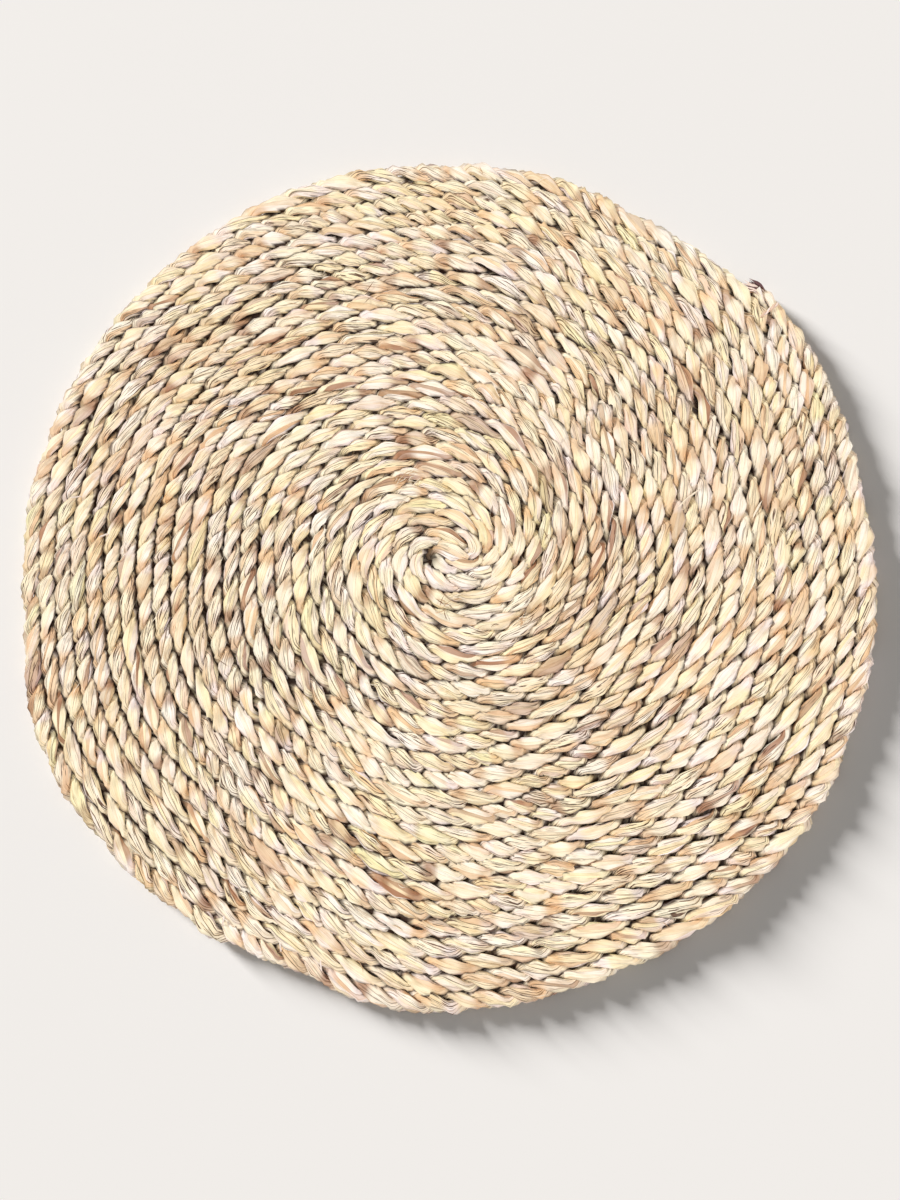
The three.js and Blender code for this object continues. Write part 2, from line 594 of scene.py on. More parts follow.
@dataclass(frozen=True)
class LeafTints:
    """The colours that dried leaf has along a rope."""

    cream: Colour = srgb(255, 250, 236)
    straw: Colour = srgb(255, 242, 200)
    pale: Colour = srgb(255, 244, 244)
    tan: Colour = srgb(230, 194, 156)
    orange: Colour = srgb(242, 200, 152)
    brown: Colour = srgb(170, 120, 88)
    green: Colour = srgb(244, 239, 178)
    green_lobes: Chance = Chance(0.2, 0.7, 0.07)
    pale_strips: Chance = Chance(0.3, 1.0, 0.5)
    tan_strips: Chance = Chance(0.3, 0.9, 0.06)
    tan_lobes: Chance = Chance(0.2, 0.6, 0.03)
    orange_strips: Chance = Chance(0.2, 0.7, 0.05)
    brown_strips: Chance = Chance(0.4, 0.95, 0.03)
    brown_lobes: Chance = Chance(0.2, 0.6, 0.02)
    tinted_ends: Chance = Chance(0.2, 0.85, 0.5)
    end_shares: tuple[float, ...] = (0.34, 0.22, 0.32, 0.12)

    @staticmethod
    def shade(colour: np.ndarray, towards: Colour, share: np.ndarray) -> np.ndarray:
        """Moves colours towards another one.

        Args:
            colour: The colours, with 3 numbers last.
            towards: The colour to move to.
            share: How far each goes, from 0 to 1.

        Returns:
            The moved colours.
        """
        share = np.clip(share, 0.0, 1.0)[..., None]
        return colour * (1.0 - share) + np.array(towards[:3]) * share

    def lobes(self, rng: np.random.Generator, browner: np.ndarray, strips: int) -> np.ndarray:
        """Draws the colours of the strips that show in each lobe of a ply.

        Args:
            rng: The source of random numbers.
            browner: How brown each lobe is, from 0 to 1.
            strips: How many strips lie side by side.

        Returns:
            The colours, as lobes by strips by 3.
        """
        shape = (len(browner), strips)
        one = (len(browner), 1)
        side = np.abs(np.linspace(-1.0, 1.0, strips))[None, :]
        colour = np.broadcast_to(np.array(self.cream[:3]), (*shape, 3))
        colour = self.shade(colour, self.straw, rng.beta(2.2, 1.2, one) + rng.normal(0.0, 0.12, shape))
        green = self.green_lobes.draw(rng, one) * rng.uniform(0.5, 1.0, shape)
        colour = self.shade(colour, self.green, green)
        colour = self.shade(colour, self.pale, self.pale_strips.draw(rng, shape) * (0.2 + 0.8 * side))
        tan = browner[:, None] + rng.normal(0.0, 0.10, one) + rng.normal(0.0, 0.12, shape)
        tan = tan + self.tan_strips.draw(rng, shape) + self.tan_lobes.draw(rng, one)
        colour = self.shade(colour, self.tan, tan)
        colour = self.shade(colour, self.orange, self.orange_strips.draw(rng, shape))
        brown = self.brown_strips.draw(rng, shape) + self.brown_lobes.draw(rng, one)
        return self.shade(colour, self.brown, brown)

    def ends(self, rng: np.random.Generator, lobes: int) -> tuple[np.ndarray, np.ndarray]:
        """Draws the tint of each lobe's two ends, where it turns down the rope's sides.

        Args:
            rng: The source of random numbers.
            lobes: How many lobes.

        Returns:
            The tints, as ends by lobes by 3, and how strong each is, as ends by lobes.
        """
        choices = np.array([self.tan[:3], self.orange[:3], self.pale[:3], self.brown[:3]])
        tint = choices[rng.choice(len(choices), size=(2, lobes), p=self.end_shares)]
        return tint, self.tinted_ends.draw(rng, (2, lobes))


@dataclass(frozen=True)
class Stretch:
    """A stretch of the mat where the leaf is browner and the rope wound looser than elsewhere."""

    at_deg: float
    radius: float
    spread_deg: float
    spread_radius: float
    browner: float
    looser: float

    def share(self, deg: np.ndarray, radius: np.ndarray) -> np.ndarray:
        """Finds how much points belong to the stretch, from 0 to 1.

        Args:
            deg: The points' angles.
            radius: The points' radii.

        Returns:
            The shares.
        """
        off = (deg - self.at_deg + 180.0) % 360.0 - 180.0
        return np.exp(-((off / self.spread_deg) ** 2) - ((radius - self.radius) / self.spread_radius) ** 2)


@dataclass
class LobeRun:
    """Where a ply goes from lobe to lobe, with the lobes' own values eased along it.

    A ply's lobes show in turn on the mat's top and on its underside, so the tables of lobes alternate.
    """

    even: np.ndarray

    def __post_init__(self) -> None:
        """Finds the lobe before each step and how far the step is from it."""
        self.first = np.floor(self.even / np.pi).astype(int)
        self.share = self.even / np.pi - self.first
        self.count = int(self.first.max()) + 2
        self.is_rising = self.first % 2 == 1

    def ease(self, table: np.ndarray, hold: float, soft: float) -> np.ndarray:
        """Eases a table's rows from lobe to lobe, holding a top lobe's row while it shows.

        Args:
            table: The values, with one row for each lobe.
            hold: For which share of the way a top lobe's row is kept.
            soft: Over which share of the way it then changes.

        Returns:
            The values, with one row for each step.
        """
        low = np.where(self.is_rising, 1.0 - hold - soft, hold)
        ease = smoothstep(0.0, 1.0, (self.share - low) / soft).reshape(-1, *[1] * (table.ndim - 1))
        return table[self.first] * (1.0 - ease) + table[self.first + 1] * ease


@dataclass
class LeafRope:
    """The two-ply rope of leaf strips, along the whole of its winding."""

    winding: Winding
    tints: LeafTints
    seed: int = 7
    # Steps along the rope, and the pieces it is made in.
    step: float = 1.65
    fine_steps: int = 60000
    pieces: int = 6
    chart_columns: int = 280
    # The twist: a lobe shows twice in its length, once for each ply.
    twist_length: float = 26.2
    twist_unevenness: float = 0.19
    twist_reach: float = 9.0
    dwell: float = 0.28
    # A ply's section: flat on its outer face, rounder towards the rope's core.
    ply_offset: float = 2.0
    face_depth: float = 1.95
    core_depth: float = 2.15
    ply_half_width: float = 3.66
    face_fullness: float = 6.0
    core_fullness: float = 1.9
    side_pinch: float = 0.05
    corner_pinch: float = 0.05
    belly: float = 0.20
    foot_spread: float = 0.12
    lean_deg: float = 14.0
    # How uneven the lobes are.
    lobe_unevenness: float = 0.1
    lobe_sidestep: float = 0.34
    lobe_lift: float = 0.36
    lobe_roll_deg: float = 11.0
    # How the rope strays from its winding, alone and together with its neighbours.
    axis_wander: float = 0.08
    axis_reach: float = 45.0
    mat_wander: float = 0.5
    mat_waves: int = 6
    mat_wave_lengths: tuple[float, float] = (45.0, 130.0)
    # The strips of leaf over a ply's top, each with points across it, and the ply's lower side.
    strips: int = 5
    strips_span_deg: float = 200.0
    strip_places: tuple[float, ...] = (0.0, 0.08, 0.5, 0.92)
    lower_points: int = 5
    strip_jitter_deg: float = 7.0
    strip_flatness: float = 0.9
    strip_tilt: float = 0.26
    # Creases between strips, with shade painted in them as deep as they are, and how split the leaf of a
    # lobe is with the share of such lobes.
    creases: Chance = Chance(0.2, 1.0, 0.6)
    crease_depth: float = 0.6
    crease_dark: float = 0.22
    crease_lip: float = 0.25
    split_kinds: tuple[tuple[float, float], ...] = ((0.12, 0.35), (0.55, 0.42), (1.0, 0.23))
    # Where shade is painted on the leaf: at the rows' edges, against the other ply and low down, less so at
    # the rim.
    row_edge: tuple[float, float] = (3.5, 4.0)
    ply_edge: tuple[float, float] = (1.075, 1.0)
    low_edge: tuple[float, float] = (0.04, 0.32)
    last_turn: float = 1160.0
    rim_clear: float = 0.8
    # How long a lobe keeps its tints, how soon they change, and where its ends start.
    tint_hold: float = 0.68
    tint_soft: float = 0.22
    lobe_ends: tuple[float, float] = (0.3, 0.95)
    # The rope's start in the eye: a long first lobe, and a sunken turn after it, with shade painted on that
    # turn.
    start_taper: float = 7.0
    start_left: float = 0.7
    first_lobe_at: float = 8.0
    first_lobe_slow: float = 0.45
    first_lobe_slow_ends: tuple[float, float] = (12.0, 22.0)
    first_lobe_wider: float = 0.22
    first_lobe_lift: float = 0.7
    first_lobe_ends: tuple[float, float] = (11.0, 20.0)
    eye_turn_at: float = 19.0
    eye_turn_reach: float = 3.6
    eye_turn_sunk: float = 0.7
    eye_turn_narrow: float = 0.42
    eye_turn_dark: float = 0.85
    # The squares in which the rope's height is noted.
    tops_half: float = 200.0
    tops_cell: float = 0.8
    # How brown the leaf is, and the stretches that differ.
    browner_drift: float = 0.05
    browner_reach: float = 160.0
    browner_all: float = 0.05
    stretches: tuple[Stretch, ...] = (
        Stretch(0.0, 0.0, 360.0, 45.0, -0.10, -0.01),
        Stretch(2.0, 60.0, 36.0, 30.0, 0.22, 0.07),
        Stretch(240.0, 72.0, 40.0, 32.0, -0.20, -0.05),
        Stretch(270.0, 112.0, 32.0, 28.0, -0.10, -0.03),
        Stretch(155.0, 112.0, 46.0, 30.0, 0.18, 0.11),
        Stretch(146.0, 162.0, 36.0, 22.0, 0.14, 0.09),
        Stretch(196.0, 152.0, 28.0, 36.0, 0.04, 0.09),
        Stretch(45.0, 162.0, 44.0, 24.0, -0.04, -0.04),
        Stretch(18.0, 116.0, 36.0, 36.0, 0.16, 0.01),
        Stretch(312.0, 110.0, 26.0, 28.0, 0.10, 0.02),
        Stretch(330.0, 76.0, 30.0, 30.0, 0.06, 0.06),
        Stretch(260.0, 176.0, 14.0, 14.0, 0.12, 0.02),
    )

    def __post_init__(self) -> None:
        """Works out the rope's line, its twist and the sizes along it."""
        w = self.winding
        rng = np.random.default_rng(self.seed)
        fine_deg = np.linspace(w.first_deg, w.last_deg - w.rope_cut_deg, self.fine_steps)
        fine_radius = w.groove_radius(fine_deg) + w.pitch / 2.0 * w.end_scale(fine_deg, w.rope_end_left)
        fine_line = w.place(fine_radius, fine_deg)
        fine_along = length_along(fine_line)
        self.length = float(fine_along[-1])
        count = int(self.length / self.step) + 1
        self.along = np.linspace(0.0, self.length, count)
        self.deg = np.interp(self.along, fine_along, fine_deg)
        self.radius = np.interp(self.along, fine_along, fine_radius)
        self.line = np.stack([np.interp(self.along, fine_along, fine_line[:, k]) for k in (0, 1)], axis=-1)
        ahead = np.gradient(self.line, axis=0)
        ahead = ahead / np.linalg.norm(ahead, axis=1, keepdims=True)
        self.outward = np.stack([ahead[:, 1], -ahead[:, 0]], axis=-1)
        off = self.axis_wander * wander(rng, count, self.axis_reach / self.step) + self.shared_wander(rng)
        self.line = self.line + self.outward * off[:, None]
        drift = np.clip(wander(rng, count, self.twist_reach / self.step), -2.0, 2.0)
        uneven = 1.0 + self.twist_unevenness * drift
        slow = 1.0 - self.first_lobe_slow * (1.0 - smoothstep(*self.first_lobe_slow_ends, self.along))
        turned = np.cumsum(2.0 * np.pi * self.step * slow / (self.twist_length * uneven))
        self.phase = turned - np.interp(self.first_lobe_at, self.along, turned) + 2.0 * np.pi
        self.sizes_along()
        self.middle = w.centre()
        self.browner = self.browner_drift * wander(rng, count, self.browner_reach / self.step)
        self.browner += self.browner_all + self.over_stretches("browner")
        self.tops = np.zeros((0, 0))

    def over_stretches(self, value: str) -> np.ndarray:
        """Adds up one value of the stretches at each step along the rope."""
        return sum(getattr(part, value) * part.share(self.deg, self.radius) for part in self.stretches)

    def sizes_along(self) -> None:
        """Works out how much of the rope's width and height is left at each step, and its axis's height."""
        w = self.winding
        start = self.start_left + (1.0 - self.start_left) * smoothstep(0.0, self.start_taper, self.along)
        first = 1.0 - smoothstep(*self.first_lobe_ends, self.along)
        self.eye_turn = np.exp(-(((self.along - self.eye_turn_at) / self.eye_turn_reach) ** 2))
        fullness = (1.0 + self.first_lobe_wider * first) * (1.0 - self.over_stretches("looser"))
        fullness = fullness * (1.0 - self.eye_turn_narrow * self.eye_turn)
        sunk = 1.0 - self.eye_turn_sunk * self.eye_turn
        self.width_left = start * fullness * w.end_scale(self.deg, w.rope_end_left)
        self.height_left = start * sunk * w.end_scale(self.deg, w.end_height_left)
        self.squash = (w.thickness / 2.0) / (self.ply_offset + self.face_depth)
        self.axis_height = (w.thickness / 2.0) * self.height_left + self.first_lobe_lift * first

    def shared_wander(self, rng: np.random.Generator) -> np.ndarray:
        """Finds how far the rope strays outwards together with the turns beside it.

        Args:
            rng: The source of random numbers.

        Returns:
            The move at each step.
        """
        move = np.zeros(len(self.line))
        for _ in range(self.mat_waves):
            heading = rng.uniform(0.0, 2.0 * np.pi)
            wave = 2.0 * np.pi / rng.uniform(*self.mat_wave_lengths) * direction(heading)
            move += np.sin(self.line @ wave + rng.uniform(0.0, 2.0 * np.pi))
        return self.mat_wander * move / np.sqrt(self.mat_waves / 2.0)

    def to_mat(self, steps: np.ndarray, outward: np.ndarray, upward: np.ndarray) -> np.ndarray:
        """Places points that are given from the rope's axis into the mat.

        Args:
            steps: The step along the rope of each point, whole or between.
            outward: How far each point lies outwards from the axis.
            upward: How far each point lies above the axis.

        Returns:
            The points, with x, y and z last.
        """
        at = np.arange(len(self.along))
        x, y = (
            self.middle[k]
            + np.interp(steps, at, self.line[:, k])
            + np.interp(steps, at, self.outward[:, k]) * outward
            for k in (0, 1)
        )
        height = np.interp(steps, at, self.axis_height) + upward
        return np.stack([x, y, np.maximum(height, 0.0)], axis=-1)

    def note_tops(self, skin: np.ndarray) -> None:
        """Notes how high the rope's skin reaches in each small square of the mat.

        Args:
            skin: The skin's points.
        """
        squares = int(2.0 * self.tops_half / self.tops_cell) + 3
        self.tops = np.zeros((squares, squares))
        column, row = ((skin[:, :2] + self.tops_half) / self.tops_cell).astype(int).T
        np.maximum.at(self.tops, (column, row), skin[:, 2])

    def top_at(self, points: np.ndarray) -> np.ndarray:
        """Finds how high the rope reaches at points of the mat.

        Args:
            points: The points, with x and y first.

        Returns:
            The heights.
        """
        column, row = ((points[:, :2] + self.tops_half) / self.tops_cell).astype(int).T
        near = [self.tops[column + i, row + k] for i in (-1, 0, 1) for k in (-1, 0, 1)]
        return np.max(near, axis=0)

    def build(self, material: bpy.types.Material) -> list[bpy.types.Object]:
        """Builds and dresses the rope, in pieces of a few turns each.

        Args:
            material: The leaf's finish.

        Returns:
            The pieces.
        """
        pair = [Ply(self, which) for which in (0, 1)]
        plies = [ply.build(other) for ply, other in zip(pair, reversed(pair))]
        self.note_tops(np.concatenate([rings.reshape(-1, 3) for rings, _ in plies]))
        cuts = np.linspace(0, len(self.along) - 1, self.pieces + 1).astype(int)
        made = []
        for number, (low, high) in enumerate(zip(cuts, cuts[1:]), start=1):
            name = f"rope_turns_{number}"
            parts = MeshParts(self.chart_columns, ring_room=plies[0][0].shape[1])
            for rings, values in plies:
                part = slice(low, high + 1)
                part_values = {key: value[part] for key, value in values.items()}
                parts.add_tube(rings[part], pair[0].crisp_points, **part_values)
            piece = place_piece(name, parts.mesh(name), material)
            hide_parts(Node.COIL.value)
            made.append(piece)
        return made


@dataclass
class Ply:
    """One of the rope's two plies: a bundle of leaf, with strips side by side over its top."""

    rope: LeafRope
    which: int

    def __post_init__(self) -> None:
        """Draws the lobes' own sizes and finds where the ply is at each step."""
        rope = self.rope
        self.rng = np.random.default_rng(rope.seed + 100 * (self.which + 1))
        self.run = LobeRun(rope.phase + np.pi * self.which)
        self.phase = self.run.even - 0.5 * rope.dwell * np.sin(2.0 * self.run.even)
        self.swell = self.run.ease(1.0 + rope.lobe_unevenness * self.per_lobe(), 0.5, 0.5)
        roll_deg = self.run.ease(rope.lobe_roll_deg * self.per_lobe(), 0.4, 0.6)
        self.facing = self.phase + np.radians(roll_deg)
        sideways = self.run.ease(rope.lobe_sidestep * self.per_lobe(), 0.4, 0.6)
        lift = self.run.ease(rope.lobe_lift * self.per_lobe(), 0.5, 0.5)
        self.centre_out = rope.ply_offset * np.sin(self.phase) + sideways
        self.centre_up = rope.ply_offset * np.cos(self.phase) + lift

    def per_lobe(self) -> np.ndarray:
        """Draws one number for each lobe, with a spread of 1."""
        return self.rng.normal(size=self.run.count)

    @property
    def crisp_points(self) -> tuple[int, ...]:
        """Which points round the ply lie on a leaf's edge."""
        each = len(self.rope.strip_places)
        return tuple(each * strip + place for strip in range(self.rope.strips) for place in (0, 1))

    def radius(self, turn: np.ndarray) -> np.ndarray:
        """Finds the distance from the ply's middle to its skin.

        Args:
            turn: Angles from straight up, towards the mat's outside, with one row for each step.

        Returns:
            The distances.
        """
        rope, phase = self.rope, self.phase[:, None]
        angle = turn - self.facing[:, None]
        faces_out = np.cos(angle) >= 0.0
        depth = np.where(faces_out, rope.face_depth, rope.core_depth)
        power = np.where(faces_out, rope.face_fullness, rope.core_fullness)
        width = rope.ply_half_width * (1.0 + rope.belly * ((1.0 - np.cos(phase)) / 2.0) ** 2)
        pinch = 1.0 - rope.side_pinch * np.sin(phase) ** 2 - rope.corner_pinch * np.sin(2.0 * phase) ** 2
        round_sum = np.abs(np.cos(angle) / depth) ** power + np.abs(np.sin(angle) / width) ** power
        return pinch * self.swell[:, None] * round_sum ** (-1.0 / power)

    def section(self, deg: np.ndarray) -> tuple[np.ndarray, np.ndarray]:
        """Finds how far outwards and upwards from the rope's axis the ply's skin lies.

        Args:
            deg: Angles round the ply from straight up, with one row for each step.

        Returns:
            The outward and the upward distances.
        """
        rope = self.rope
        turn = np.radians(deg + rope.lean_deg * np.sin(self.phase)[:, None])
        skin = self.radius(turn)
        outward = self.centre_out[:, None] + skin * np.sin(turn)
        upward = self.centre_up[:, None] + skin * np.cos(turn)
        return outward * (1.0 + rope.foot_spread * smoothstep(0.3, -1.5, upward)), upward

    def distance(self, outward: np.ndarray, upward: np.ndarray) -> np.ndarray:
        """Finds how near points of the rope's section are to this ply: 1 on its skin, less inside it."""
        out = outward - self.centre_out[:, None]
        up = upward - self.centre_up[:, None]
        return np.hypot(out, up) / self.radius(np.arctan2(out, up))

    def lay_strips(self, kind: np.ndarray) -> tuple[np.ndarray, np.ndarray, np.ndarray, np.ndarray]:
        """Lays the strips side by side over the ply's upper side and closes it below.

        Args:
            kind: How split each lobe's leaf is, from 0 to 1.

        Returns:
            Each point's angle round the ply, its outward and upward distances, and how much shade is
            painted in its crease.
        """
        rope, run, rng = self.rope, self.run, self.rng
        shape = (run.count, rope.strips)
        steps = len(self.phase)
        deep = run.ease(rope.crease_depth * kind * rope.creases.draw(rng, shape), 0.45, 0.4)
        tilt = run.ease(rope.strip_tilt * rng.normal(size=shape), 0.5, 0.5)
        lowest = np.minimum(np.concatenate([np.zeros((steps, 1)), tilt[:, :-1]], axis=1), -tilt)
        span = rope.strips_span_deg
        jitter = run.ease(rng.uniform(-1.0, 1.0, shape) * rope.strip_jitter_deg, 0.5, 0.5)
        edge = -span / 2.0 + np.arange(rope.strips) * span / rope.strips + jitter
        width = np.diff(np.concatenate([edge, np.full((steps, 1), span / 2.0)], axis=1), axis=1)
        near, far = self.section(edge), self.section(edge + width)
        columns: list[list[np.ndarray]] = [[], [], [], []]
        for place in rope.strip_places:
            # A strip's edge sinks into a crease, and shade is painted there in step with the crease's
            # depth.
            if place == 0.0:
                raised, crease = lowest - deep, np.clip(deep / rope.crease_dark, 0.0, 1.0)
            else:
                lip = rope.crease_lip * deep * (abs(place - 0.5) > 0.3)
                raised, crease = tilt * (2.0 * place - 1.0) + lip, 0.0 * deep
            columns[0].append(edge + place * width)
            columns[3].append(crease)
            curved = self.section(edge + place * width)
            for k, centre in ((0, self.centre_out), (1, self.centre_up)):
                flat = near[k] * (1.0 - place) + far[k] * place
                point = flat * rope.strip_flatness + curved[k] * (1.0 - rope.strip_flatness)
                columns[k + 1].append(point + raised * (point - centre[:, None]) / rope.ply_half_width)
        lower_deg = span / 2.0 + np.arange(rope.lower_points) * (360.0 - span) / rope.lower_points
        lower = np.broadcast_to(lower_deg, (steps, rope.lower_points))
        upper = [np.stack(column, axis=2).reshape(steps, -1) for column in columns]
        below = (lower, *self.section(lower), np.zeros_like(lower))
        return tuple(np.concatenate(pair, axis=1) for pair in zip(upper, below))

    def ease_tints(self, table: np.ndarray) -> np.ndarray:
        """Eases a table of the lobes' tints along the ply."""
        return self.run.ease(table, self.rope.tint_hold, self.rope.tint_soft)

    def colours(self) -> np.ndarray:
        """Finds the colours of the ply's points.

        Returns:
            The colours, as steps by points by 4.
        """
        rope, run = self.rope, self.run
        browner = np.interp(np.arange(run.count) * np.pi, run.even, rope.browner)
        table = rope.tints.lobes(self.rng, browner, rope.strips)
        strips = np.repeat(self.ease_tints(table), len(rope.strip_places), axis=1)
        lower = np.repeat(self.ease_tints(table.mean(axis=1))[:, None, :], rope.lower_points, axis=1)
        leaf = np.concatenate([strips, lower], axis=1)
        end_tint, end_strength = rope.tints.ends(self.rng, run.count)
        for end, side in enumerate((-1.0, 1.0)):
            towards = self.ease_tints(end_tint[end])[:, None, :]
            at_end = smoothstep(*rope.lobe_ends, side * np.sin(self.phase))
            strength = self.ease_tints(end_strength[end]) * at_end
            leaf = leaf + (towards - leaf) * strength[:, None, None]
        return np.concatenate([leaf, np.ones((*leaf.shape[:2], 1))], axis=2)

    def build(self, other: Ply) -> tuple[np.ndarray, dict[str, np.ndarray]]:
        """Builds the ply's rings of points and their values.

        Args:
            other: The ply that it is twisted with.

        Returns:
            The rings, and the named values of each point.
        """
        rope = self.rope
        how_split, shares = zip(*rope.split_kinds)
        kind = self.rng.choice(how_split, size=(self.run.count, 1), p=shares)
        around, outward, upward, crease = self.lay_strips(kind)
        rings = rope.to_mat(
            np.broadcast_to(np.arange(len(self.phase))[:, None].astype(float), around.shape),
            outward * rope.width_left[:, None],
            upward * rope.squash * rope.height_left[:, None],
        )
        # Painted shade, placed by where each point lies: at the rows' edges, against the other ply, low
        # down and on the eye's sunken turn, less at the rim.
        crest = np.abs(rings[:, :, 2] - rope.axis_height[:, None]) / rope.axis_height[:, None]
        from_end = (rope.length - rope.along)[:, None]
        is_rim = (from_end < rope.last_turn) * (outward > 0.0)
        is_low = 1.0 - smoothstep(*rope.low_edge, crest)
        at_row_edge = smoothstep(*rope.row_edge, np.abs(outward))
        at_other_ply = smoothstep(*rope.ply_edge, other.distance(outward, upward))
        in_eye = rope.eye_turn_dark * rope.eye_turn[:, None]
        in_groove = np.maximum(is_low, at_row_edge) * (1.0 - rope.rim_clear * is_rim)
        return rings, {
            "leaf": self.colours(),
            "crease": crease,
            "split": np.broadcast_to(self.run.ease(kind, 0.6, 0.3), around.shape),
            "tuck": np.maximum(in_groove, np.maximum(at_other_ply, in_eye)),
            "along": np.broadcast_to(rope.along[:, None], around.shape),
            "around": around / 360.0,
            "strand": np.full(around.shape, 10.0 * self.which),
        }


def smooth_path(points: np.ndarray, count: int) -> np.ndarray:
    """Draws a smooth path through points.

    Args:
        points: The points, with x, y and z last.
        count: How many points the path gets.

    Returns:
        The path.
    """
    padded = np.concatenate([2.0 * points[:1] - points[1:2], points, 2.0 * points[-1:] - points[-2:-1]])
    at = np.linspace(0.0, len(points) - 1.0, count)
    first = np.minimum(at.astype(int), len(points) - 2)
    t = (at - first)[:, None]
    a, b, c, d = (padded[first + k] for k in range(4))
    slope, bend, swing = c - a, 2.0 * a - 5.0 * b + 4.0 * c - d, 3.0 * b - a - 3.0 * c + d
    return 0.5 * (2.0 * b + slope * t + bend * t**2 + swing * t**3)


@dataclass
class Strand:
    """A thin strip or thread of leaf along a path, thinner towards its ends."""

    path: np.ndarray
    half_width: float
    half_thick: float
    colour: Colour
    side: tuple[float, float, float] | None = None
    end_left: float = 0.15
    taper: float = 0.3
    split: float = 0.3
    sides: int = 6

    def axes(self) -> tuple[np.ndarray, np.ndarray]:
        """Finds the strand's sideways and upward directions along its path.

        Returns:
            The two directions at each point of the path.
        """
        ahead = np.gradient(self.path, axis=0)
        ahead = ahead / np.linalg.norm(ahead, axis=1, keepdims=True)
        whole = self.path[-1] - self.path[0]
        side = np.cross(whole, (0.0, 0.0, 1.0)) if self.side is None else np.array(self.side)
        right = side - ahead * (ahead @ side)[:, None]
        right = right / np.linalg.norm(right, axis=1, keepdims=True)
        return right, np.cross(right, ahead)

    def add_to(self, parts: MeshParts, number: int) -> None:
        """Adds the strand to a piece.

        Args:
            parts: The piece's parts.
            number: The strand's number, which sets its veins.
        """
        right, up = self.axes()
        share = np.linspace(0.0, 1.0, len(self.path))
        inside = smoothstep(0.0, self.taper, np.minimum(share, 1.0 - share))
        left = self.end_left + (1.0 - self.end_left) * inside
        turn = 2.0 * np.pi * np.arange(self.sides) / self.sides
        width = (left * self.half_width)[:, None, None] * np.sin(turn)[None, :, None]
        thick = (left * self.half_thick)[:, None, None] * np.cos(turn)[None, :, None]
        rings = self.path[:, None, :] + right[:, None, :] * width + up[:, None, :] * thick
        shape = rings.shape[:2]
        parts.add_tube(
            rings,
            leaf=np.broadcast_to(np.array(self.colour), (*shape, 4)),
            crease=np.zeros(shape),
            split=np.full(shape, self.split),
            tuck=np.zeros(shape),
            along=np.broadcast_to(length_along(self.path)[:, None] + 31.0 * number, shape),
            around=np.broadcast_to(turn / (4.0 * np.pi), shape),
            strand=np.full(shape, 20.0 + number),
        )


def strand_piece(
    name: str, strands: list[Strand], material: bpy.types.Material
) -> bpy.types.Object:
    """Joins strands into one piece that rides on the mat.

    Args:
        name: The piece's name.
        strands: Its strands.
        material: Their finish.

    Returns:
        The piece.
    """
    parts = MeshParts(chart_columns=64, ring_room=max(strand.sides for strand in strands))
    for number, strand in enumerate(strands):
        strand.add_to(parts, number)
    return place_piece(name, parts.mesh(name), material)


@dataclass
class EndLashing:
    """The twisted strand that ties the rope's outer end down over the last turn, knotted at the rim."""

    rope: LeafRope
    deg: float = 37.0
    over: tuple[float, ...] = (-4.2, -2.4, -0.4, 1.4, 3.2, 4.7)
    down: tuple[tuple[float, float], ...] = ((6.1, 4.0), (5.4, 1.2))
    above: float = 0.45
    strand_radius: float = 0.48
    strand_apart: float = 0.42
    twists: float = 2.5
    tucked_in: float = 1.2
    colours: tuple[Colour, Colour] = (srgb(250, 232, 222), srgb(236, 206, 182))
    # The knot at the rim: its two crossed loops, and its two loose tails with their reach and fall.
    knot: Colour = srgb(116, 80, 66)
    knot_half: float = 1.7
    knot_out: float = 0.5
    loops: tuple[tuple[float, float], ...] = ((0.9, 0.0), (-0.9, -0.5))
    tails: tuple[tuple[float, float], ...] = ((-4.6, -3.2), (3.4, -3.4))

    def build(self, material: bpy.types.Material) -> list[bpy.types.Object]:
        """Builds the lashing in the place of its plain strap.

        Args:
            material: The strand's finish.

        Returns:
            The piece.
        """
        rope, turn = self.rope, np.radians(self.deg)
        groove = rope.winding.groove_radius(np.array(360.0 * rope.winding.whole_turns + self.deg))
        away = direction(turn)
        along = np.array([-away[1], away[0], 0.0])
        flat = rope.middle + away * (groove + np.array(self.over))[:, None]
        over = np.column_stack([flat, rope.top_at(flat) + self.above])
        over[0, 2] -= self.tucked_in
        down = np.array([[*(rope.middle + away * (groove + out)), height] for out, height in self.down])
        path = smooth_path(np.concatenate([over, down]), 40)
        right, up = Strand(path, 1.0, 1.0, self.knot, tuple(along)).axes()
        strands = []
        for colour, start in zip(self.colours, (0.0, np.pi)):
            wind = start + 2.0 * np.pi * self.twists * np.linspace(0.0, 1.0, len(path))[:, None]
            wound = path + self.strand_apart * (np.cos(wind) * right + np.sin(wind) * up)
            half = self.strand_radius
            strands.append(Strand(wound, half, half, colour, tuple(along), end_left=0.5, taper=0.08))
        at = down[0] + (*(self.knot_out * away), 0.0)
        for lean, low in self.loops:
            half_loop = along * self.knot_half - (0.0, 0.0, lean)
            loop = np.array([at - half_loop, at + (*(self.knot_out * away), low), at + half_loop])
            strands.append(Strand(smooth_path(loop, 9), 0.5, 0.45, self.knot, end_left=0.3))
        for reach, fall in self.tails:
            halfway = along * 0.5 * reach + (*(0.9 * away), 0.4 * fall)
            tail = np.array([at, at + halfway, at + along * reach + (0.0, 0.0, fall)])
            strands.append(Strand(smooth_path(tail, 10), 0.42, 0.22, self.colours[1]))
        piece = strand_piece("lashing_strand", strands, material)
        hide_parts(Node.LASHING.value)
        return [piece]


